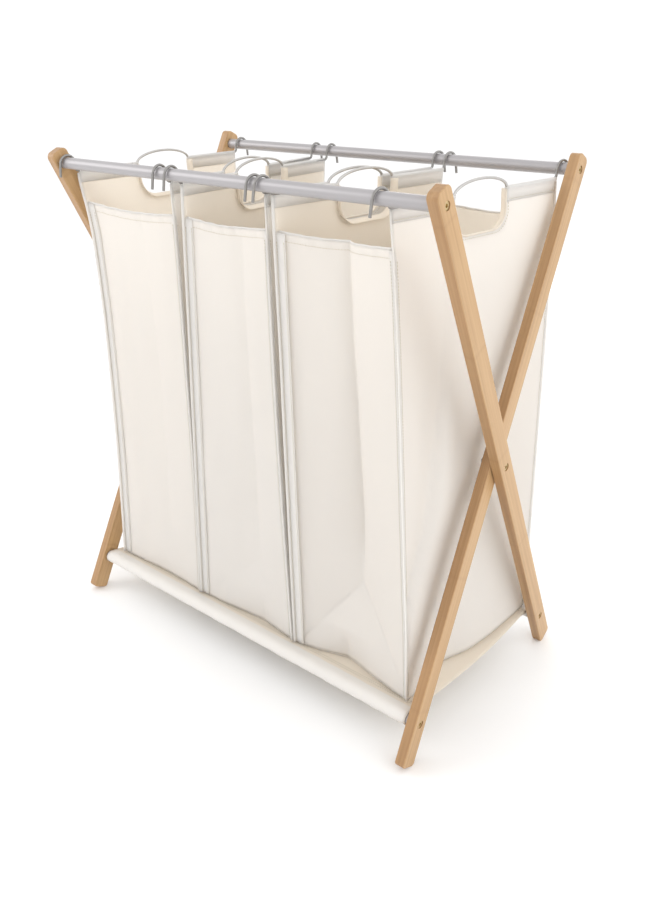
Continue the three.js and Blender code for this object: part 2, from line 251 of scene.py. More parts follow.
# ---- materials ----
BAMBOO_NODE_HALF_PITCH = 0.088
BAMBOO_NODE_HALF_WIDTH = 0.004
ARCH_REACH = 0.055  # from the middle of a wire to where its bright arch ends
HOOK_REACH = 0.120  # and to where its dark hook begins
YARN_SCALE = 330.0  # of a wave whose period is one yarn


def bamboo_material(name, tilt):
    """Laminated bamboo: grain along a leg that leans by tilt, with faint nodes across it, and painted shade
    on its narrow faces.
    """
    n = Nodes(name)
    leaning = (-tilt, 0.0, 0.0)
    along = n.coordinates(rotation=leaning)
    fibres = n.coordinates((260.0, 260.0, 5.0), leaning)
    streaks = n.coordinates((60.0, 60.0, 2.0), leaning)
    fine = n.noise(fibres, 1.0, 5.0, 0.6)
    broad = n.noise(streaks, 1.0, 3.0, 0.5)
    patches = n.noise(along, 9.0, 2.0)
    grain = n.math("ADD", n.math("MULTIPLY", fine, 0.55), n.math("MULTIPLY", broad, 0.45))
    base = n.ramp(grain, [
        (0.30, (0.38, 0.215, 0.09)),
        (0.44, (0.48, 0.295, 0.135)),
        (0.56, (0.55, 0.355, 0.175)),
        (0.72, (0.61, 0.425, 0.235)),
    ])
    split = n.add("ShaderNodeSeparateXYZ")
    n.link(along, split.inputs["Vector"])
    shift = n.math("ADD", split.outputs["Z"], n.math("MULTIPLY", n.noise(along, 30.0), 0.004))
    rings = n.math("PINGPONG", shift, BAMBOO_NODE_HALF_PITCH)
    ring_mask = n.spread(rings, 1.0, 0.0, end=BAMBOO_NODE_HALF_WIDTH)
    tinted = n.mix(n.math("MULTIPLY", ring_mask, 0.16), base, (0.33, 0.175, 0.07))
    warmed = n.mix(n.spread(patches, 0.0, 0.28), tinted, (0.86, 0.66, 0.45), "MULTIPLY")
    # Painted shade: faces whose normal points little along X, the narrow faces, are multiplied darker than
    # the wide faces.
    facing = n.add("ShaderNodeTexCoord")
    sides = n.add("ShaderNodeSeparateXYZ")
    n.link(facing.outputs["Normal"], sides.inputs["Vector"])
    unshaded_wide_face = n.math("ABSOLUTE", sides.outputs["X"], 0.0)
    n.colour(n.mix(unshaded_wide_face, n.mix(1.0, warmed, (0.80, 0.74, 0.70), "MULTIPLY"), warmed))
    n.roughness(fine, 0.36, 0.56)
    set_inputs(n.shader, {"Coat Weight": 0.25, "Coat Roughness": 0.28})
    height = n.math("ADD", n.math("MULTIPLY", fine, 0.7), n.math("MULTIPLY", ring_mask, -0.4))
    n.bump(height, 0.35, 0.0006)
    return n.material


def tube_material():
    n = Nodes("tube_coat")
    speckle = n.noise(n.coordinates(), 2400.0, 2.0)
    cloud = n.noise(n.coordinates((6.0, 40.0, 40.0)), 1.0, 3.0)
    n.colour(n.mix(cloud, (0.37, 0.355, 0.36), (0.43, 0.41, 0.42)))
    n.roughness(cloud, 0.38, 0.50)
    set_inputs(n.shader, {"Metallic": 0.35, "Coat Weight": 0.3, "Coat Roughness": 0.22})
    n.bump(speckle, 0.12, 0.0002)
    return n.material


def metal_material(name, light, dark, rough):
    n = Nodes(name)
    stain = n.noise(n.coordinates(), 220.0, 5.0, 0.6)
    scratches = n.noise(n.coordinates((900.0, 120.0, 900.0)), 1.0, 3.0)
    n.colour(n.mix(stain, dark, light))
    n.roughness(scratches, rough - 0.08, rough + 0.12)
    n.shader.inputs["Metallic"].default_value = 0.9
    n.bump(scratches, 0.15, 0.0001)
    return n.material


def wire_material():
    """Drawn steel wire, brighter along the arches than on the hooks."""
    n = Nodes("wire_steel")
    stain = n.noise(n.coordinates(), 160.0, 4.0, 0.6)
    split = n.add("ShaderNodeSeparateXYZ")
    n.link(n.coordinates(), split.inputs["Vector"])
    reach = n.spread(n.math("ABSOLUTE", split.outputs["Y"], 0.0), 0.0, 1.0, ARCH_REACH, HOOK_REACH)
    arch = n.mix(stain, (0.47, 0.455, 0.44), (0.58, 0.565, 0.545))
    hook = n.mix(stain, (0.25, 0.24, 0.235), (0.36, 0.35, 0.335))
    n.colour(n.mix(reach, arch, hook))
    n.roughness(stain, 0.28, 0.46)
    n.shader.inputs["Metallic"].default_value = 0.75
    n.bump(stain, 0.15, 0.0001)
    return n.material


def nylon_material():
    n = Nodes("dark_nylon")
    grit = n.noise(n.coordinates(), 1500.0, 3.0)
    n.colour(n.mix(grit, (0.055, 0.055, 0.06), (0.10, 0.10, 0.11)))
    n.roughness(grit, 0.45, 0.62)
    n.bump(grit, 0.2, 0.0001)
    return n.material


def cloth_material(name, light, shade, through, glow):
    """Thin plain-weave cloth. UVs are metres of cloth, so the yarns have their real pitch."""
    n = Nodes(name)
    uv = n.coordinates(source="UV")
    warp = n.wave(uv, YARN_SCALE, "X", 0.6)
    weft = n.wave(uv, YARN_SCALE, "Y", 0.6)
    weave = n.math("MULTIPLY", warp, weft)
    slub = n.noise(n.coordinates((90.0, 900.0, 1.0), source="UV"), 1.0, 3.0, 0.6)
    slub_across = n.noise(n.coordinates((900.0, 90.0, 1.0), source="UV"), 1.0, 3.0, 0.6)
    cloud = n.noise(n.coordinates(), 7.0, 3.0)
    yarns = n.math("ADD", n.math("MULTIPLY", slub, 0.5), n.math("MULTIPLY", slub_across, 0.5))
    tone = n.math("ADD", n.math("MULTIPLY", yarns, 0.6), n.math("MULTIPLY", weave, 0.4))
    colour = n.mix(tone, shade, light)
    colour = n.mix(n.math("MULTIPLY", cloud, 0.22), colour, shade)
    n.colour(colour)
    n.roughness(yarns, 0.84, 0.98)
    set_inputs(n.shader, {"Sheen Weight": 0.12, "Sheen Roughness": 0.5, "Specular IOR Level": 0.2})
    height = n.math("ADD", n.math("MULTIPLY", weave, 0.6), n.math("MULTIPLY", yarns, 0.8))
    normal = n.bump(height, 0.35, 0.00025)
    lit_from_behind = n.add("ShaderNodeBsdfTranslucent")
    lit_from_behind.inputs["Color"].default_value = (*through, 1.0)
    n.link(normal, lit_from_behind.inputs["Normal"])
    blend = n.add("ShaderNodeMixShader")
    blend.inputs["Fac"].default_value = glow
    n.link(n.shader.outputs["BSDF"], blend.inputs[1])
    n.link(lit_from_behind.outputs["BSDF"], blend.inputs[2])
    n.link(blend.outputs["Shader"], n.output.inputs["Surface"])
    return n.material


def thread_material():
    n = Nodes("thread")
    twist = n.wave(n.coordinates(), 900.0, "DIAGONAL")
    n.colour(n.mix(twist, (0.60, 0.55, 0.44), (0.78, 0.74, 0.64)))
    n.roughness(twist, 0.7, 0.9)
    return n.material


# ---- mesh helpers ----
def new_object(name, data):
    obj = bpy.data.objects.new(name, data)
    bpy.context.scene.collection.objects.link(obj)
    return obj


def evaluated_mesh(obj):
    bpy.context.view_layer.update()
    return bpy.data.meshes.new_from_object(obj.evaluated_get(bpy.context.evaluated_depsgraph_get()))


def shade_smooth(mesh):
    mesh.polygons.foreach_set("use_smooth", [True] * len(mesh.polygons))


def mesh_object(name, vertices, faces, material, uvs=None):
    mesh = bpy.data.meshes.new(name)
    mesh.from_pydata([tuple(v) for v in vertices], [], [tuple(f) for f in faces])
    mesh.validate()
    if uvs is not None:
        layer = mesh.uv_layers.new(name="cloth")
        for loop in mesh.loops:
            layer.data[loop.index].uv = uvs[loop.vertex_index]
    shade_smooth(mesh)
    mesh.materials.append(material)
    return new_object(name, mesh)


def thicken(obj, inside_warm_shade=None, outward=None):
    """Gives cloth its thickness. With a second material, the face turned away from outward gets it: on the
    bags, a yellower copy of the cloth that is painted warm shade on their insides.
    """
    if inside_warm_shade:
        turned = sum(polygon.normal.dot(outward) for polygon in obj.data.polygons)
        if turned < 0:
            obj.data.flip_normals()
        obj.data.materials.append(inside_warm_shade)
    solidify = obj.modifiers.new("thickness", "SOLIDIFY")
    solidify.thickness = CLOTH
    solidify.offset = 0.0
    solidify.material_offset = 1 if inside_warm_shade else 0
    baked = evaluated_mesh(obj)
    obj.modifiers.clear()
    obj.data = baked


def join(name, objects):
    """One object from several, so a bag's cloth moves and folds as one."""
    bpy.ops.object.select_all(action="DESELECT")
    for obj in objects:
        obj.select_set(True)
    bpy.context.view_layer.objects.active = objects[0]
    bpy.ops.object.join()
    objects[0].name = name
    objects[0].data.name = name
    return objects[0]


def grid(columns, rows):
    """Quads of a grid whose vertices run along each row in turn."""
    return [
        (r * columns + c, r * columns + c + 1, (r + 1) * columns + c + 1, (r + 1) * columns + c)
        for r in range(rows - 1)
        for c in range(columns - 1)
    ]


def sweep(name, points, section, material, frame_at):
    """A closed section, as (across, up) pairs, carried along points and capped at both ends.

    frame_at gives the (across, up) unit vectors at the point with that index.
    """
    count = len(section)
    vertices = []
    uvs = []
    travelled = 0.0
    for index, point in enumerate(points):
        across, up = frame_at(index)
        if index:
            travelled += (Vector(point) - Vector(points[index - 1])).length
        girth = 0.0
        for j, (a, b) in enumerate(section):
            if j:
                girth += math.dist(section[j - 1], section[j])
            vertices.append(Vector(point) + across * a + up * b)
            uvs.append((travelled, girth))
    faces = []
    for index in range(len(points) - 1):
        for j in range(count):
            k = (j + 1) % count
            row, following = index * count, (index + 1) * count
            faces.append((row + j, following + j, following + k, row + k))
    faces.append(tuple(range(count)))
    last = (len(points) - 1) * count
    faces.append(tuple(last + j for j in reversed(range(count))))
    return mesh_object(name, vertices, faces, material, uvs)


def smooth_step(low, high, value):
    t = min(1.0, max(0.0, (value - low) / (high - low)))
    return t * t * (3.0 - 2.0 * t)


def bell(centre, width, value):
    return math.exp(-((value - centre) / width) ** 2)


def lerp(a, b, t):
    return a + (b - a) * t


def shares(count):
    """Evenly spaced numbers from 0 to 1."""
    return [i / (count - 1) for i in range(count)]


# ---- driving dimensions, as in the frame ----
TOP_HALF_SPACING = 0.175
BOTTOM_HALF_SPACING = 0.154
TOP_TUBE_Z = 0.716
BOTTOM_TUBE_Z = 0.055
TUBE_RADIUS = 0.008
LEG_TILT = math.atan2(TOP_HALF_SPACING + BOTTOM_HALF_SPACING, TOP_TUBE_Z - BOTTOM_TUBE_Z)
INNER_LEG_FACE = 0.3008
OUTER_LEG_FACE = 0.316

BAG_TOP_HALF_DEPTH = 0.158
BAG_BASE_FRONT_DEPTH = 0.138
BAG_BASE_REAR_DEPTH = 0.150
BAG_BASE_Z = 0.0655
BAG_TOP_Z = 0.7030
PANEL_TOP_Z = 0.660
NOTCH_HALF_WIDTH = 0.050
NOTCH_BASE_Z = 0.657
NOTCH_RADIUS = 0.024
CLOTH = 0.0009
MESH_STEP = 0.006

WIRE_RADIUS = 0.0018
WIRE_HEM_Z = 0.7043
HOOK_RADIUS = 0.0115
HOOK_CROWN_GAP = 0.0008
HOOK_TIP_Z = 0.697
HOOK_SPLAY = 0.005
ARCH_HALF_WIDTH = 0.052
ARCH_RISE = 0.016

SLEEVE_RADIUS = 0.0089
SLING_SAG = 0.010
SLING_OVERLAP = 0.016
SLING_END_GAP = 0.004

# X of each bag's left and right panel where the wires cross the front and the rear tube, and at the
# front and the rear of its base.
BAGS = {
    "bag_1": {
        "front": (-0.292, -0.095), "rear": (-0.292, -0.126),
        "base_front": (-0.293, -0.108), "base_rear": (-0.293, -0.108),
    },
    "bag_2": {
        "front": (-0.073, 0.071), "rear": (-0.095, 0.101),
        "base_front": (-0.103, 0.086), "base_rear": (-0.103, 0.086),
    },
    "bag_3": {
        "front": (0.084, 0.251), "rear": (0.120, 0.289),
        "base_front": (0.091, 0.283), "base_rear": (0.091, 0.303),
    },
}


# ---- shape of the bags ----
def height_share(z):
    return (z - BAG_BASE_Z) / (BAG_TOP_Z - BAG_BASE_Z)


def depth(facing, z):
    """From the middle of the sorter to a bag's front (-1) or back (1)."""
    base = BAG_BASE_FRONT_DEPTH if facing < 0 else BAG_BASE_REAR_DEPTH
    return lerp(base, BAG_TOP_HALF_DEPTH, height_share(z))


def depth_share(y, z):
    """0 at a bag's front, 1 at its back."""
    front, rear = depth(-1, z), depth(1, z)
    return (y + front) / (front + rear)


def curve_at(places, values, place):
    """A smooth curve through values at places."""
    last = len(places) - 1
    place = min(max(place, places[0]), places[last])
    i = min(sum(place > other for other in places[1:last]), last - 1)

    def slope(k):
        a, b = max(k - 1, 0), min(k + 1, last)
        return (values[b] - values[a]) / (places[b] - places[a])

    gap = places[i + 1] - places[i]
    p = (place - places[i]) / gap
    leaving = gap * slope(i) * (p - 2.0 * p * p + p ** 3)
    arriving = gap * slope(i + 1) * (p ** 3 - p * p)
    return lerp(values[i], values[i + 1], 3.0 * p * p - 2.0 * p ** 3) + leaving + arriving


def sling_z(y):
    """Top of the sling's sheet, which sags between its two tubes."""
    crest = BOTTOM_TUBE_Z + SLEEVE_RADIUS + CLOTH / 2
    return crest - SLING_SAG * (1.0 - min(1.0, (y / BOTTOM_HALF_SPACING) ** 2))


def settled(y, z):
    """A height in a bag, lowered near its base so that the base lies on the sling."""
    drop = sling_z(y) + BASE_CLEARANCE - BAG_BASE_Z
    return z + drop * (1.0 - smooth_step(0.0, SETTLING_HEIGHT, z - BAG_BASE_Z))


# How far the middle of a side panel is drawn inwards at each height, for the panels that are bowed.
BOW_HEIGHTS = (0.0655, 0.126, 0.278, 0.466, 0.600, 0.645, 0.690, 0.703)
BOWS = {
    ("bag_1", 0): (0.0, 0.005, 0.015, 0.021, 0.018, 0.012, 0.001, 0.0),
    ("bag_1", 1): (0.0, -0.002, -0.005, -0.004, -0.003, -0.002, 0.0, 0.0),
    ("bag_2", 1): (0.001, 0.002, 0.004, 0.004, 0.002, 0.001, 0.0, 0.0),
    ("bag_3", 1): (0.0, -0.001, -0.002, -0.003, -0.003, -0.002, 0.0, 0.0),
}

# The soft ridge up the right panel of bag 3: its Y at each height.
RIDGE_HEIGHTS = (0.0655, 0.140, 0.182, 0.229, 0.263, 0.315, 0.391, 0.486, 0.560)
RIDGE_PLACES = (-0.134, -0.135, -0.136, -0.124, -0.108, -0.085, -0.071, -0.064, -0.060)

# Seeds of the noise that ripples each bag's side panels, and its front and back panels.
SIDE_SEEDS = {"bag_1": 3.1, "bag_2": 7.7, "bag_3": 12.9}
END_SEEDS = {"bag_1": 0.0, "bag_2": 11.0, "bag_3": 23.0}

SIDE_DRAWN = 0.0020  # how far a side panel is drawn in, and how much that ripples
SIDE_RIPPLE = 0.0042
SIDE_FINE_RIPPLE = 0.0013
LOW_HOLLOW = 0.018  # at the foot of bag 3's right panel
RIDGE_DENT = 0.0075  # in front of its ridge
RIDGE_CREST = 0.0035
END_RIPPLE = 0.0030  # of a front or back panel
END_FINE_RIPPLE = 0.0010
GATHER = 0.0011  # of the cloth into its rolled hem
BASE_CLEARANCE = 0.0013  # of a bag's base over the sling
SETTLING_HEIGHT = 0.11  # above which a bag isn't lowered on to the sling
PANEL_INSET = 0.0025  # of a front or back panel behind the corner seams


def bow(bag_name, side, z):
    """How far the middle of a side panel is drawn inwards at height z."""
    if (bag_name, side) not in BOWS:
        return 0.0
    return curve_at(BOW_HEIGHTS, BOWS[bag_name, side], z)


def inwards_of(side):
    """The X direction from a bag's left (0) or right (1) panel towards its middle."""
    return 1.0 if side == 0 else -1.0


def side_folds(bag_name, side, y, z):
    """How far a side panel stands inwards from its flat place."""
    t = height_share(z)
    free = max(0.0, math.sin(depth_share(y, z) * math.pi)) ** 0.7
    seed = SIDE_SEEDS[bag_name] + 31.0 * side
    ripple = noise.noise(Vector((y * 9.0, z * 3.2, seed)))
    fine = noise.noise(Vector((y * 24.0, z * 9.0, seed + 5.0)))
    top_pull = 1.0 - smooth_step(0.86, 0.97, t)
    drawn = SIDE_DRAWN + SIDE_RIPPLE * ripple + SIDE_FINE_RIPPLE * fine
    inward = free * top_pull * drawn
    if (bag_name, side) == ("bag_3", 1):
        low = 1.0 - smooth_step(0.0, 0.22, t)
        inward += LOW_HOLLOW * low * bell(-0.045, 0.050, y)
        ridge = curve_at(RIDGE_HEIGHTS, RIDGE_PLACES, z)
        fading = 1.0 - 0.8 * smooth_step(0.42, 0.60, z)
        strength = smooth_step(0.10, 0.20, z) * fading * top_pull
        before_ridge = 1.0 - smooth_step(ridge - 0.002, ridge + 0.008, y)
        dent = smooth_step(-depth(-1, z), ridge, y) * before_ridge
        inward += RIDGE_DENT * strength * dent
        inward -= RIDGE_CREST * strength * bell(ridge + 0.020, 0.018, y)
    return inward


def side_x(bag_name, side, y, z):
    """X of a bag's left (0) or right (1) panel."""
    bag = BAGS[bag_name]
    t = height_share(z)
    across = depth_share(y, z)
    front = lerp(bag["base_front"][side], bag["front"][side], t)
    rear = lerp(bag["base_rear"][side], bag["rear"][side], t)
    drawn_in = side_folds(bag_name, side, y, z) + bow(bag_name, side, z) * (1.0 - 0.4 * across)
    return lerp(front, rear, across) + inwards_of(side) * drawn_in


# How each bag's front panel is creased: how deep the upright crease is, where it runs as a share of the
# width, the height at which it splits towards the two corners, and how far and where the base's edge
# is pushed in. A back panel has the same creases, but shallower.
CREASES = {
    "bag_1": {"depth": 0.003, "place": 0.62, "split": 0.160, "tuck": 0.004, "tuck_place": 0.55},
    "bag_2": {"depth": 0.007, "place": 0.66, "split": 0.170, "tuck": 0.008, "tuck_place": 0.66},
    "bag_3": {"depth": 0.030, "place": 0.53, "split": 0.192, "tuck": 0.020, "tuck_place": 0.40},
}


BACK_CREASE_SHARE = 0.35
BACK_TUCK_SHARE = 0.4
PINCH_SHARE = 0.34  # of a crease's depth that is a sharp pinch along its line
PRESSED_SHARE = 0.06  # and that is a line pressed along the two diagonals
TUCK_HEIGHT = 0.050  # of the cloth that is pushed in with the base's edge
PANEL_SAG = 0.005


def tent(place, u):
    """0 at both edges, 1 at place, straight between them."""
    return u / place if u < place else (1.0 - u) / (1.0 - place)


def panel_recess(bag_name, facing, u, z):
    """How far the front or back panel stands in from the bag's edges. u runs from its left to its right."""
    crease = CREASES[bag_name]
    deep = crease["depth"] if facing < 0 else BACK_CREASE_SHARE * crease["depth"]
    tuck = crease["tuck"] if facing < 0 else BACK_TUCK_SHARE * crease["tuck"]
    apex_height = crease["split"] - BAG_BASE_Z
    above = z - BAG_BASE_Z
    upright = tent(crease["place"], u)
    diagonal = apex_height * upright
    if above >= diagonal:
        off = u - crease["place"]
        pinch = PINCH_SHARE * deep * math.exp(-abs(off) / (0.075 if off < 0 else 0.030))
        pinch *= smooth_step(apex_height, apex_height + 0.09, above)
        recess = deep * upright * (1.0 - 0.45 * smooth_step(0.30, 0.60, z)) + pinch
    else:
        near_base = max(0.0, 1.0 - above / TUCK_HEIGHT)
        wrinkle = 0.004 * bell(crease["tuck_place"] + 0.02, 0.022, u) * bell(0.022, 0.012, above)
        recess = deep * above / apex_height
        recess += tuck * near_base * tent(crease["tuck_place"], u) ** 1.4 + tuck / 0.03 * wrinkle
    pressed = math.exp(-abs(above - diagonal) / 0.0025) * smooth_step(0.0, 0.03, above)
    recess += PRESSED_SHARE * deep * pressed * (u * (1.0 - u) * 4.0)
    seed = 2.0 + facing + END_SEEDS[bag_name]
    soft = noise.noise(Vector((u * 2.6, z * 4.0, seed)))
    fine = noise.noise(Vector((u * 7.0, z * 12.0, seed + 4.0)))
    pinned = min(1.0, 6.0 * min(u, 1.0 - u))
    near_top = smooth_step(PANEL_TOP_Z - 0.03, PANEL_TOP_Z, z)
    gathers = GATHER * math.sin(u * 46.0 + 2.0 * soft) * near_top
    return PANEL_INSET + recess + pinned * (END_RIPPLE * soft + END_FINE_RIPPLE * fine + gathers)


def panel_top(u):
    """The free top edge of a front or back panel hangs a little between the corners."""
    return PANEL_TOP_Z - PANEL_SAG * math.sin(u * math.pi)


def panel_point(bag_name, facing, u, z):
    """A point of a front (-1) or back (1) panel. u runs from its left edge to its right edge."""
    edge = facing * depth(facing, z)
    y = edge - facing * panel_recess(bag_name, facing, u, z)
    left = side_x(bag_name, 0, edge, z)
    right = side_x(bag_name, 1, edge, z)
    return Vector((lerp(left, right, u), y, settled(edge, z)))


def side_point(bag_name, side, s, z):
    """A point of a side panel. s runs from -1 at its front edge to 1 at its rear edge."""
    y = lerp(-depth(-1, z), depth(1, z), (s + 1.0) / 2.0)
    return Vector((side_x(bag_name, side, y, z), y, settled(y, z)))


# ---- bag pieces ----
UP = Vector((0.0, 0.0, 1.0))
TOP_EDGE_STEPS = 18  # along each stretch of a side panel's top edge
END_GRID = (61, 131)  # columns and rows of a front or back panel
BASE_GRID = (31, 41)
SEAM_WIDTHS = (0.0140, 0.0065)  # of the flat strip at a bag's left and right corners
SEAM_THICKNESS = 0.0011
SEAM_LEVELS = 90
FIN_WIDTH = 0.0042
FIN_THICKNESS = 0.0017
HEM_RADIUS = 0.0027
HEM_DEPTH = 0.017
HEM_THICKNESS = 0.0024
HEM_POINTS = 26
FACING_WIDTH = 0.008
FACING_CURL = 0.0035
FACING_THICKNESS = 0.0013
FACING_POINTS = 8
ROLL_RADIUS = 0.0009  # of the rolled hem on a front or back panel
ROLL_POINTS = 40
STITCH_LENGTH = 0.0026
STITCH_PITCH = 0.0038
STITCH_RADIUS = 0.00035


def notch_outline():
    """The notch as (y, z) points, from the top of its front edge to the top of its rear edge."""
    half, low, radius = NOTCH_HALF_WIDTH, NOTCH_BASE_Z, NOTCH_RADIUS
    centre_z = low + radius

    def corner(centre_y, first):
        angles = [first + i * math.pi / 16 for i in range(9)]
        return [(centre_y + radius * math.cos(a), centre_z + radius * math.sin(a)) for a in angles]

    points = [(-half, lerp(BAG_TOP_Z, centre_z, i / 4)) for i in range(4)]
    points += corner(-half + radius, math.pi)
    points += [(lerp(-half + radius, half - radius, i / 6), low) for i in range(1, 6)]
    points += corner(half - radius, 1.5 * math.pi)
    points += [(half, lerp(centre_z, BAG_TOP_Z, i / 4)) for i in range(1, 5)]
    return points


def side_panel(bag_name, side, material, inside_warm_shade):
    """A side panel with its handle notch, meshed finely enough to carry soft folds."""
    wide, low, high = BAG_TOP_HALF_DEPTH, BAG_BASE_Z, BAG_TOP_Z
    rows = round((high - low) / MESH_STEP)
    columns = round(2 * wide / MESH_STEP)
    outline = [(lerp(-wide, wide, i / columns), low) for i in range(columns)]
    outline += [(wide, lerp(low, high, i / rows)) for i in range(rows)]
    steps = TOP_EDGE_STEPS
    outline += [(lerp(wide, NOTCH_HALF_WIDTH, i / steps), high) for i in range(steps)]
    outline += list(reversed(notch_outline()))
    outline += [(lerp(-NOTCH_HALF_WIDTH, -wide, i / steps), high) for i in range(1, steps)]
    outline += [(-wide, lerp(high, low, i / rows)) for i in range(rows)]
    inner = []
    margin = 0.6 * MESH_STEP
    for z in [lerp(low, high, r / rows) for r in range(1, rows)]:
        for y in [lerp(-wide, wide, c / columns) for c in range(1, columns)]:
            if abs(y) >= NOTCH_HALF_WIDTH + margin or z <= NOTCH_BASE_Z - margin:
                inner.append((y, z))
    flat = [Vector(p) for p in outline + inner]
    ring = list(range(len(outline)))
    verts, _, faces, _, _, _ = geometry.delaunay_2d_cdt(flat, [], [ring], 1, 1e-7)
    points = [side_point(bag_name, side, v.x / wide, v.y) for v in verts]
    uvs = [(v.x, v.y) for v in verts]
    panel = mesh_object(f"{bag_name}_side_{side}", points, faces, material, uvs)
    thicken(panel, inside_warm_shade, outward=Vector((-inwards_of(side), 0.0, 0.0)))
    return panel


def end_panel(bag_name, facing, material, inside_warm_shade):
    """The low front or back panel, between the two corner seams."""
    columns, rows = END_GRID
    vertices, uvs = [], []
    for share in shares(rows):
        for u in shares(columns):
            z = lerp(BAG_BASE_Z, panel_top(u), share)
            point = panel_point(bag_name, facing, u, z)
            vertices.append(point)
            uvs.append((point.x, z))
    panel = mesh_object(f"{bag_name}_end", vertices, grid(columns, rows), material, uvs)
    thicken(panel, inside_warm_shade, outward=Vector((0.0, facing, 0.0)))
    return panel


def base_panel(bag_name, material, inside_warm_shade):
    """The bag's base, which lies on the sling and follows the pushed-in front edge."""
    columns, rows = BASE_GRID
    vertices, uvs = [], []
    for share in shares(rows):
        for u in shares(columns):
            front = panel_point(bag_name, -1, u, BAG_BASE_Z)
            rear = panel_point(bag_name, 1, u, BAG_BASE_Z)
            y = lerp(front.y, rear.y, share)
            left = side_x(bag_name, 0, y, BAG_BASE_Z)
            right = side_x(bag_name, 1, y, BAG_BASE_Z)
            x = lerp(left, right, u)
            vertices.append((x, y, settled(y, BAG_BASE_Z)))
            uvs.append((x, y))
    panel = mesh_object(f"{bag_name}_base", vertices, grid(columns, rows), material, uvs)
    thicken(panel, inside_warm_shade, outward=Vector((0.0, 0.0, -1.0)))
    return panel


def rounded_strip(width, thickness):
    """Section of a flat sewn strip, from 0 to width, with soft edges."""
    half = thickness / 2
    section = []
    for centre, first in ((width - half, -math.pi / 2), (half, math.pi / 2)):
        for i in range(4):
            angle = first + math.pi * i / 3
            section.append((centre + half * math.cos(angle), half * math.sin(angle)))
    return section


def corner_seam(bag_name, side, facing, material):
    """The flat felled strip and the narrow fin of cloth that run down a corner of the bag."""
    levels = [lerp(BAG_BASE_Z + 0.001, BAG_TOP_Z - 0.002, share) for share in shares(SEAM_LEVELS)]
    across = Vector((inwards_of(side), 0.0, 0.0))
    outward = Vector((0.0, facing, 0.0))
    corner = [side_point(bag_name, side, facing, z) for z in levels]
    strip_points = [p + outward * -0.0014 for p, z in zip(corner, levels) if z < PANEL_TOP_Z - 0.001]
    section = rounded_strip(SEAM_WIDTHS[side], SEAM_THICKNESS)
    strip = sweep(f"{bag_name}_fell", strip_points, section, material, lambda i: (across, outward))

    def fin_frame(index):
        sway = 0.28 * noise.noise(Vector((0.0, levels[index] * 7.0, 4.0 * side + facing)))
        direction = (outward + across * (sway - 0.25)).normalized()
        return direction, direction.cross(UP).normalized()

    fin_points = [p + outward * -0.001 for p in corner]
    section = rounded_strip(FIN_WIDTH, FIN_THICKNESS)
    fin = sweep(f"{bag_name}_fin", fin_points, section, material, fin_frame)
    return [strip, fin]


def teardrop(radius, length, thickness):
    """Section of a hem: a loop round the wire that narrows into two layers of cloth below it."""
    section = []
    for i in range(13):
        angle = math.radians(-50 + 280 * i / 12)
        section.append((radius * math.cos(angle), radius * math.sin(angle)))
    half = thickness / 2
    neck = (half * 1.1, -0.35 * length)
    section += [(-neck[0], neck[1]), (-half, -length), (half, -length), neck]
    return section


def side_hems(bag_name, side, material):
    """The two stretches of hem that hold the wire, in front of and behind the notch."""
    pieces = []
    for facing in (-1, 1):
        start, end = facing * BAG_TOP_HALF_DEPTH, facing * (NOTCH_HALF_WIDTH + 0.001)
        points = []
        for share in shares(HEM_POINTS):
            y = lerp(start, end, share)
            points.append(Vector((side_x(bag_name, side, y, BAG_TOP_Z), y, WIRE_HEM_Z)))

        def frame_at(index):
            """The hem leans with the panel that it is sewn from."""
            y = points[index].y
            lean = (points[index].x - side_x(bag_name, side, y, WIRE_HEM_Z - HEM_DEPTH)) / HEM_DEPTH
            return Vector((1.0, 0.0, -lean)).normalized(), Vector((lean, 0.0, 1.0)).normalized()

        section = teardrop(HEM_RADIUS, HEM_DEPTH, HEM_THICKNESS)
        pieces.append(sweep(f"{bag_name}_hem", points, section, material, frame_at))
    return pieces


def notch_facing(bag_name, side, material):
    """The strip that turns inwards from the notch's edge, and the bead along that edge."""
    inwards = Vector((inwards_of(side), 0.0, 0.0))
    outline = notch_outline()
    points = [Vector((side_x(bag_name, side, y, z), y, z)) for y, z in outline]
    middle = Vector((0.0, 0.0, BAG_TOP_Z))
    normals = []
    for index in range(len(points)):
        before, after = points[max(index - 1, 0)], points[min(index + 1, len(points) - 1)]
        along = (after - before).normalized()
        normal = along.cross(inwards).normalized()
        if normal.dot(middle - Vector((0.0, points[index].y, points[index].z))) > 0:
            normal = -normal
        normals.append(normal)
    section = [(FACING_WIDTH * t, FACING_CURL * t * t) for t in shares(FACING_POINTS)]
    section += [(a, b + FACING_THICKNESS) for a, b in reversed(section)]
    strip = sweep(f"{bag_name}_facing", points, section, material, lambda i: (inwards, normals[i]))
    bead = []
    for k in range(8):
        angle = k * math.pi / 4
        bead.append((0.0012 * math.cos(angle) - 0.0002, 0.0013 * math.sin(angle) + 0.0006))
    rim = sweep(f"{bag_name}_rim", points, bead, material, lambda i: (inwards, normals[i]))
    return [strip, rim]


def panel_hem(bag_name, facing, material):
    """The rolled hem along the top of a front or back panel."""
    points = []
    for share in shares(ROLL_POINTS):
        u = lerp(0.02, 0.98, share)
        points.append(panel_point(bag_name, facing, u, panel_top(u)) + Vector((0.0, 0.0, 0.0004)))
    section = []
    for i in range(7):
        angle = math.pi * i / 6
        section.append((ROLL_RADIUS * math.cos(angle), ROLL_RADIUS * math.sin(angle)))
    section += [(-ROLL_RADIUS, -0.0016), (ROLL_RADIUS, -0.0016)]
    outward = Vector((0.0, facing, 0.0))
    return sweep(f"{bag_name}_panel_hem", points, section, material, lambda i: (outward, UP))


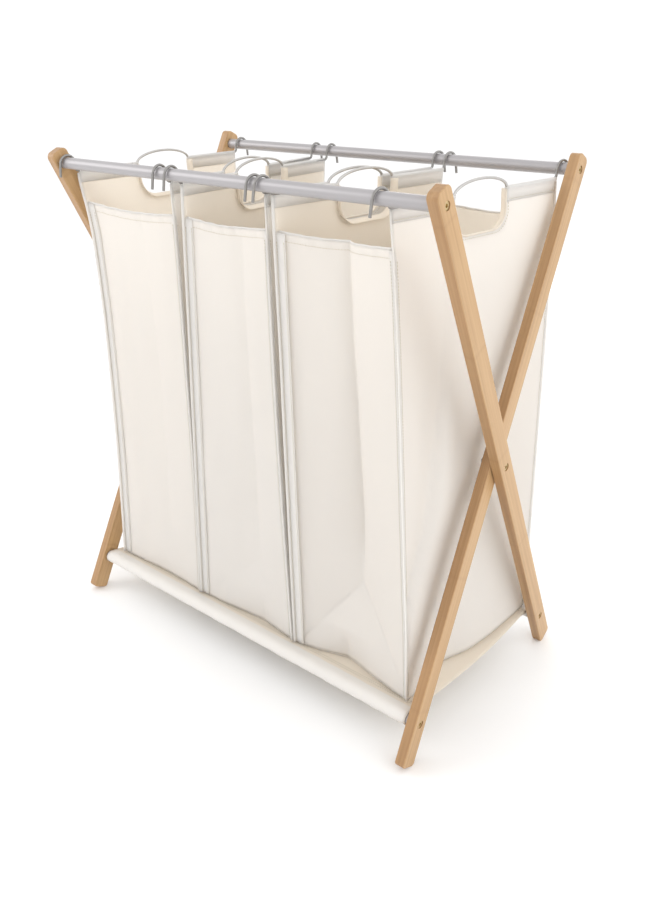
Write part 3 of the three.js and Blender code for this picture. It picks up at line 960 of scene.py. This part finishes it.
class Stitches:
    """Rows of thread, gathered into one mesh."""

    def __init__(self):
        self.vertices = []
        self.faces = []

    def row(self, points, outward):
        """Stitches laid along points, standing a little way out along outward."""
        carried = 0.0
        for start, end in zip(points, points[1:]):
            span = (end - start).length
            if span < 1e-6:
                continue
            along = (end - start) / span
            across = along.cross(outward).normalized()
            place = carried
            while place < span:
                run = along * STITCH_LENGTH
                self.one(start + along * place, run, across * STITCH_RADIUS, outward * STITCH_RADIUS)
                place += STITCH_PITCH
            carried = place - span

    def one(self, start, run, across, up):
        """One stitch: four rings of four corners, narrower at both ends."""
        first = len(self.vertices)
        for share, girth in ((0.0, 0.3), (0.2, 1.0), (0.8, 1.0), (1.0, 0.3)):
            centre = start + run * share + up * (0.6 * girth)
            for a, b in ((-1, -0.6), (1, -0.6), (0.6, 1), (-0.6, 1)):
                self.vertices.append(centre + across * (a * girth) + up * (b * girth))
        for ring in range(3):
            for k in range(4):
                a, b = first + 4 * ring + k, first + 4 * ring + (k + 1) % 4
                self.faces.append((a, b, b + 4, a + 4))
        self.faces.append((first + 3, first + 2, first + 1, first))
        self.faces.append((first + 12, first + 13, first + 14, first + 15))

    def build(self, name, material):
        return mesh_object(name, self.vertices, self.faces, material)


def bag_stitching(bag_name, material):
    """The thread along the corner seams, the hems, the notches and the tops of the low panels."""
    stitches = Stitches()
    levels = [lerp(BAG_BASE_Z + 0.004, PANEL_TOP_Z - 0.014, share) for share in shares(61)]
    for side in (0, 1):
        inwards = inwards_of(side)
        out = Vector((-inwards, 0.0, 0.0))
        for facing in (-1, 1):
            outward = Vector((0.0, facing, 0.0))
            for inset in (0.0016, SEAM_WIDTHS[side] - 0.0014):
                shift = Vector((inwards * inset, facing * -0.0005, 0.0))
                stitches.row([side_point(bag_name, side, facing, z) + shift for z in levels], outward)
            hem = []
            for share in shares(30):
                y = facing * lerp(BAG_TOP_HALF_DEPTH - 0.003, NOTCH_HALF_WIDTH + 0.004, share)
                z = WIRE_HEM_Z - HEM_DEPTH + 0.003
                hem.append(Vector((side_x(bag_name, side, y, z), y, z)) + out * 0.0015)
            stitches.row(hem, out)
            near_edge = facing * (1.0 - 0.028)
            run = [side_point(bag_name, side, near_edge, z) + out * 0.0006 for z in levels]
            stitches.row(run, out)
        around = []
        for y, z in notch_outline():
            grown = Vector((y * 1.10, (z - BAG_TOP_Z) * 1.10 + BAG_TOP_Z))
            if grown.y < BAG_TOP_Z - 0.016:
                x = side_x(bag_name, side, grown.x, grown.y)
                around.append(Vector((x, grown.x, grown.y)) + out * 0.0006)
        stitches.row(around, out)
    for facing in (-1, 1):
        outward = Vector((0.0, facing, 0.0))
        row = []
        for share in shares(41):
            u = lerp(0.05, 0.95, share)
            row.append(panel_point(bag_name, facing, u, panel_top(u) - 0.0105) + outward * 0.0011)
        stitches.row(row, outward)
    return stitches.build(f"{bag_name}_stitching", material)


def fold_with_frame(piece, body):
    """Rides on its body, with a mesh of its own."""
    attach(piece, body)
    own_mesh(piece)


def add_bag(bag_name, cloth, inside_warm_shade, thread):
    """One bag's cloth, joined into one piece, and its stitching."""
    # The panels' inner faces and the notch facings get a yellower copy of the cloth: painted warm shade.
    pieces = [side_panel(bag_name, side, cloth, inside_warm_shade) for side in (0, 1)]
    pieces += [end_panel(bag_name, facing, cloth, inside_warm_shade) for facing in (-1, 1)]
    pieces.append(base_panel(bag_name, cloth, inside_warm_shade))
    for side in (0, 1):
        for facing in (-1, 1):
            pieces += corner_seam(bag_name, side, facing, cloth)
        pieces += side_hems(bag_name, side, cloth)
        pieces += notch_facing(bag_name, side, inside_warm_shade)
    for facing in (-1, 1):
        pieces.append(panel_hem(bag_name, facing, cloth))
    bag = join(f"{bag_name}_cloth", pieces)
    fold_with_frame(bag, bag_name)
    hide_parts(bag_name)
    stitching = bag_stitching(bag_name, thread)
    fold_with_frame(stitching, bag_name)


# ---- wire hangers ----
SHOULDER_RADIUS = 0.005  # of the bend from the hem's run up into the hook


def hanger_half():
    """From the middle of the arch to the tip of the hook, as (distance, height, splay)."""
    points = []
    for share in shares(21):
        angle = share * 0.46 * math.pi
        rise = ARCH_RISE * math.cos(angle)
        points.append((ARCH_HALF_WIDTH * math.sin(angle), WIRE_HEM_Z + rise, 0.0))
    inside = TOP_HALF_SPACING - HOOK_RADIUS
    hook_z = TOP_TUBE_Z + TUBE_RADIUS + HOOK_CROWN_GAP + WIRE_RADIUS - HOOK_RADIUS
    for y in (ARCH_HALF_WIDTH + 0.004, ARCH_HALF_WIDTH + 0.012, inside - 0.02, inside - 0.006):
        points.append((y, WIRE_HEM_Z, 0.0))
    for i in range(1, 5):
        angle = i * math.pi / 10
        y = inside - SHOULDER_RADIUS + SHOULDER_RADIUS * math.sin(angle)
        points.append((y, WIRE_HEM_Z + SHOULDER_RADIUS * (1 - math.cos(angle)), 0.0))
    for i in range(25):
        angle = math.pi * i / 24
        y = TOP_HALF_SPACING - HOOK_RADIUS * math.cos(angle)
        points.append((y, hook_z + HOOK_RADIUS * math.sin(angle), HOOK_SPLAY * i / 48))
    outside = TOP_HALF_SPACING + HOOK_RADIUS
    for i in range(1, 6):
        points.append((outside, lerp(hook_z, HOOK_TIP_Z, i / 5), HOOK_SPLAY * (0.5 + i / 10)))
    return points


def hanger_wire(name, front_x, rear_x, material):
    """One bent wire from the tip of its front hook to the tip of its rear hook."""
    half = hanger_half()
    route = []
    for side, points in ((-1, list(reversed(half[1:]))), (1, half)):
        for distance, height, splay in points:
            share = 0.5 + side * distance / (2 * TOP_HALF_SPACING)
            route.append((lerp(front_x, rear_x, share) + side * splay, side * distance, height))
    curve = bpy.data.curves.new(name, "CURVE")
    curve.dimensions = "3D"
    curve.bevel_depth = WIRE_RADIUS
    curve.bevel_resolution = 4
    curve.use_fill_caps = True
    spline = curve.splines.new("POLY")
    spline.points.add(len(route) - 1)
    for point, place in zip(spline.points, route):
        point.co = (*place, 1.0)
    shape = new_object(f"{name}_curve", curve)
    mesh = evaluated_mesh(shape)
    bpy.data.objects.remove(shape)
    mesh.materials.clear()
    mesh.materials.append(material)
    shade_smooth(mesh)
    return new_object(name, mesh)


def add_hangers(bag_name, material):
    bag = BAGS[bag_name]
    for side, word in enumerate(("left", "right")):
        wire = hanger_wire(f"wire_{bag_name}_{word}", bag["front"][side], bag["rear"][side], material)
        fold_with_frame(wire, bag_name)
        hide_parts(f"hanger_{bag_name}_{word}")


# ---- tubes ----
TUBE_WALL = 0.0012
TUBE_SOFT_END = 0.0004
TUBE_RINGS = 150  # along a tube, so that its facets stay short
TUBE_SIDES = 48


def add_tube(node, body, material):
    """A smooth round tube with softened ends, in place of the faceted one."""
    low, high = (Vector(v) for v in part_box(node))
    centre = (low + high) / 2
    radius = (high.z - low.z) / 2
    bore, shoulder = radius - TUBE_WALL, radius - TUBE_SOFT_END
    start, end = low.x + TUBE_SOFT_END, high.x - TUBE_SOFT_END
    profile = [(low.x, bore), (low.x, shoulder), (start, radius)]
    for i in range(1, TUBE_RINGS):
        profile.append((lerp(start, end, i / TUBE_RINGS), radius))
    profile += [(end, radius), (high.x, shoulder), (high.x, bore)]
    vertices, faces = [], []
    for x, r in profile:
        for k in range(TUBE_SIDES):
            angle = 2 * math.pi * k / TUBE_SIDES
            vertices.append((x, centre.y + r * math.cos(angle), centre.z + r * math.sin(angle)))
    for i in range(len(profile)):
        row = i * TUBE_SIDES
        following = (i + 1) % len(profile) * TUBE_SIDES
        for k in range(TUBE_SIDES):
            m = (k + 1) % TUBE_SIDES
            faces.append((row + k, row + m, following + m, following + k))
    tube = mesh_object(f"{node}_round", vertices, faces, material)
    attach(tube, body)
    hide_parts(node)


# ---- sling ----
SLING_ROWS = 131
UNDER_POINTS = 6  # along the overlap under the sheet
SLEEVE_STEPS = 25  # round a tube
SHEET_STEPS = 60  # from tube to tube
SLING_STITCH_INSETS = (0.0155, 0.0195)  # of the two rows of thread, from a tube's axis
SLING_STITCH_POINTS = 80


def sling_path():
    """The cloth's route from under one sleeve, round both tubes, to under the other, as (y, z) pairs."""
    front = []
    leave = -BOTTOM_HALF_SPACING + SLEEVE_RADIUS * 0.9
    for share in shares(UNDER_POINTS):
        y = lerp(leave + SLING_OVERLAP, leave, share)
        front.append((y, sling_z(y) - CLOTH * 2.6 - 0.004 * smooth_step(0.0, 1.0, share)))
    for i in range(1, SLEEVE_STEPS + 1):
        angle = math.radians(lerp(-35.0, -270.0, i / SLEEVE_STEPS))
        front.append((
            -BOTTOM_HALF_SPACING + SLEEVE_RADIUS * math.cos(angle),
            BOTTOM_TUBE_Z + SLEEVE_RADIUS * math.sin(angle),
        ))
    rear = [(-y, z) for y, z in reversed(front)]
    sheet = []
    for i in range(1, SHEET_STEPS):
        y = lerp(-BOTTOM_HALF_SPACING, BOTTOM_HALF_SPACING, i / SHEET_STEPS)
        sheet.append((y, sling_z(y) - CLOTH / 2))
    return front + sheet + rear


def sling_end(y, end):
    """X of the sling's left (-1) or right (1) end, which slants from one tube to the other."""
    near, far = INNER_LEG_FACE - SLING_END_GAP, OUTER_LEG_FACE - SLING_END_GAP
    share = 0.5 + y / (2 * BOTTOM_HALF_SPACING)
    return lerp(near, far, share) if end > 0 else lerp(-far, -near, share)


def sling_point(x, y, z, share):
    """A point of the cloth: its sheet ripples and droops at its ends, its sleeves pucker."""
    on_sheet = smooth_step(0.0, 0.03, BOTTOM_HALF_SPACING - abs(y))
    ripple = noise.noise(Vector((x * 14.0, y * 9.0, 40.0)))
    pucker = noise.noise(Vector((x * 55.0, y * 20.0, z * 60.0 + 50.0)))
    edge = bell(0.0, 0.05, share) + bell(1.0, 0.05, share)
    slack = 1.0 - (y / BOTTOM_HALF_SPACING) ** 2
    lift = on_sheet * (0.0016 * ripple - 0.003 * edge * slack) - 0.0008 * on_sheet
    swell = (1.0 - on_sheet) * 0.0007 * (pucker + 0.6)
    from_tube = y - math.copysign(BOTTOM_HALF_SPACING, y)
    outward = Vector((0.0, from_tube, z - BOTTOM_TUBE_Z)).normalized()
    return Vector((x, y, z + lift)) + outward * swell


def sling_thread(material):
    """Two rows of thread along each sleeve."""
    stitches = Stitches()
    for facing in (-1, 1):
        for inset in SLING_STITCH_INSETS:
            y = facing * (BOTTOM_HALF_SPACING - inset)
            row = []
            for share in shares(SLING_STITCH_POINTS):
                x = lerp(sling_end(y, -1) + 0.004, sling_end(y, 1) - 0.004, share)
                row.append(Vector((x, y, sling_z(y) + 0.0011)))
            stitches.row(row, UP)
    return stitches.build("sling_stitching", material)


def add_sling(cloth, inner, thread):
    """The sling, one cloth round both bottom tubes, with its thread."""
    path = sling_path()
    length = [0.0]
    for a, b in zip(path, path[1:]):
        length.append(length[-1] + math.dist(a, b))
    vertices, uvs = [], []
    for share in shares(SLING_ROWS):
        for (y, z), travelled in zip(path, length):
            x = lerp(sling_end(y, -1), sling_end(y, 1), share)
            vertices.append(sling_point(x, y, z, share))
            uvs.append((x, travelled))
    sling = mesh_object("sling_cloth", vertices, grid(len(path), SLING_ROWS), cloth, uvs)
    sling.data.materials.append(inner)
    for polygon in sling.data.polygons:
        step = polygon.index % (len(path) - 1)
        between = abs(polygon.center.y) < BOTTOM_HALF_SPACING - SLEEVE_RADIUS - 0.002
        upper = SLEEVE_STEPS <= step < len(path) - SLEEVE_STEPS
        polygon.material_index = 1 if between and upper else 0
    thicken(sling)
    stitching = sling_thread(thread)
    for piece in (sling, stitching):
        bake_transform(piece)
    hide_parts("sling")


# ---- the object ----
# Light colour, shaded colour, colour let through and share let through, of each cloth.
CLOTHS = {
    "bag_cloth": ((0.91, 0.905, 0.905), (0.87, 0.86, 0.85), (0.98, 0.95, 0.90), 0.44),
    # A yellower copy of the bag cloth for the bags' insides and notch facings: painted warm shade.
    "bag_inside_warm_shade": ((0.96, 0.89, 0.79), (0.92, 0.83, 0.71), (0.97, 0.94, 0.89), 0.40),
    "sling_cloth": ((0.93, 0.915, 0.90), (0.88, 0.855, 0.82), (0.95, 0.86, 0.70), 0.24),
    "sling_inner": ((0.92, 0.86, 0.77), (0.87, 0.795, 0.69), (0.95, 0.86, 0.70), 0.24),
}
TUBE_BODIES = {
    "tube_front_top": "frame_a",
    "tube_rear_bottom": "frame_a",
    "tube_rear_top": "frame_b",
    "tube_front_bottom": "frame_b",
}


def dress_frame():
    """Gives every node of the frame that is shown as it is its material."""
    brass = metal_material("screw_brass", (0.72, 0.56, 0.30), (0.48, 0.36, 0.18), 0.34)
    nylon = nylon_material()
    materials = {
        "leg_a": bamboo_material("bamboo_a", LEG_TILT),
        "leg_b": bamboo_material("bamboo_b", -LEG_TILT),
        "screw": brass,
        "pivot_bolt": brass,
        "pivot_nut": metal_material("dark_steel", (0.10, 0.09, 0.085), (0.05, 0.045, 0.04), 0.45),
        "insert": nylon,
        "pivot_washer": nylon,
    }
    for name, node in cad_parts.items():
        for start, material in materials.items():
            if name.startswith(start):
                node.data.materials.clear()
                node.data.materials.append(material)


def main():
    add_camera()
    add_studio()
    dress_frame()
    tube_coat = tube_material()
    for node, body in TUBE_BODIES.items():
        add_tube(node, body, tube_coat)
    cloths = {name: cloth_material(name, *values) for name, values in CLOTHS.items()}
    thread = thread_material()
    wire_steel = wire_material()
    for bag_name in BAGS:
        add_bag(bag_name, cloths["bag_cloth"], cloths["bag_inside_warm_shade"], thread)
        add_hangers(bag_name, wire_steel)
    add_sling(cloths["sling_cloth"], cloths["sling_inner"], thread)


main()
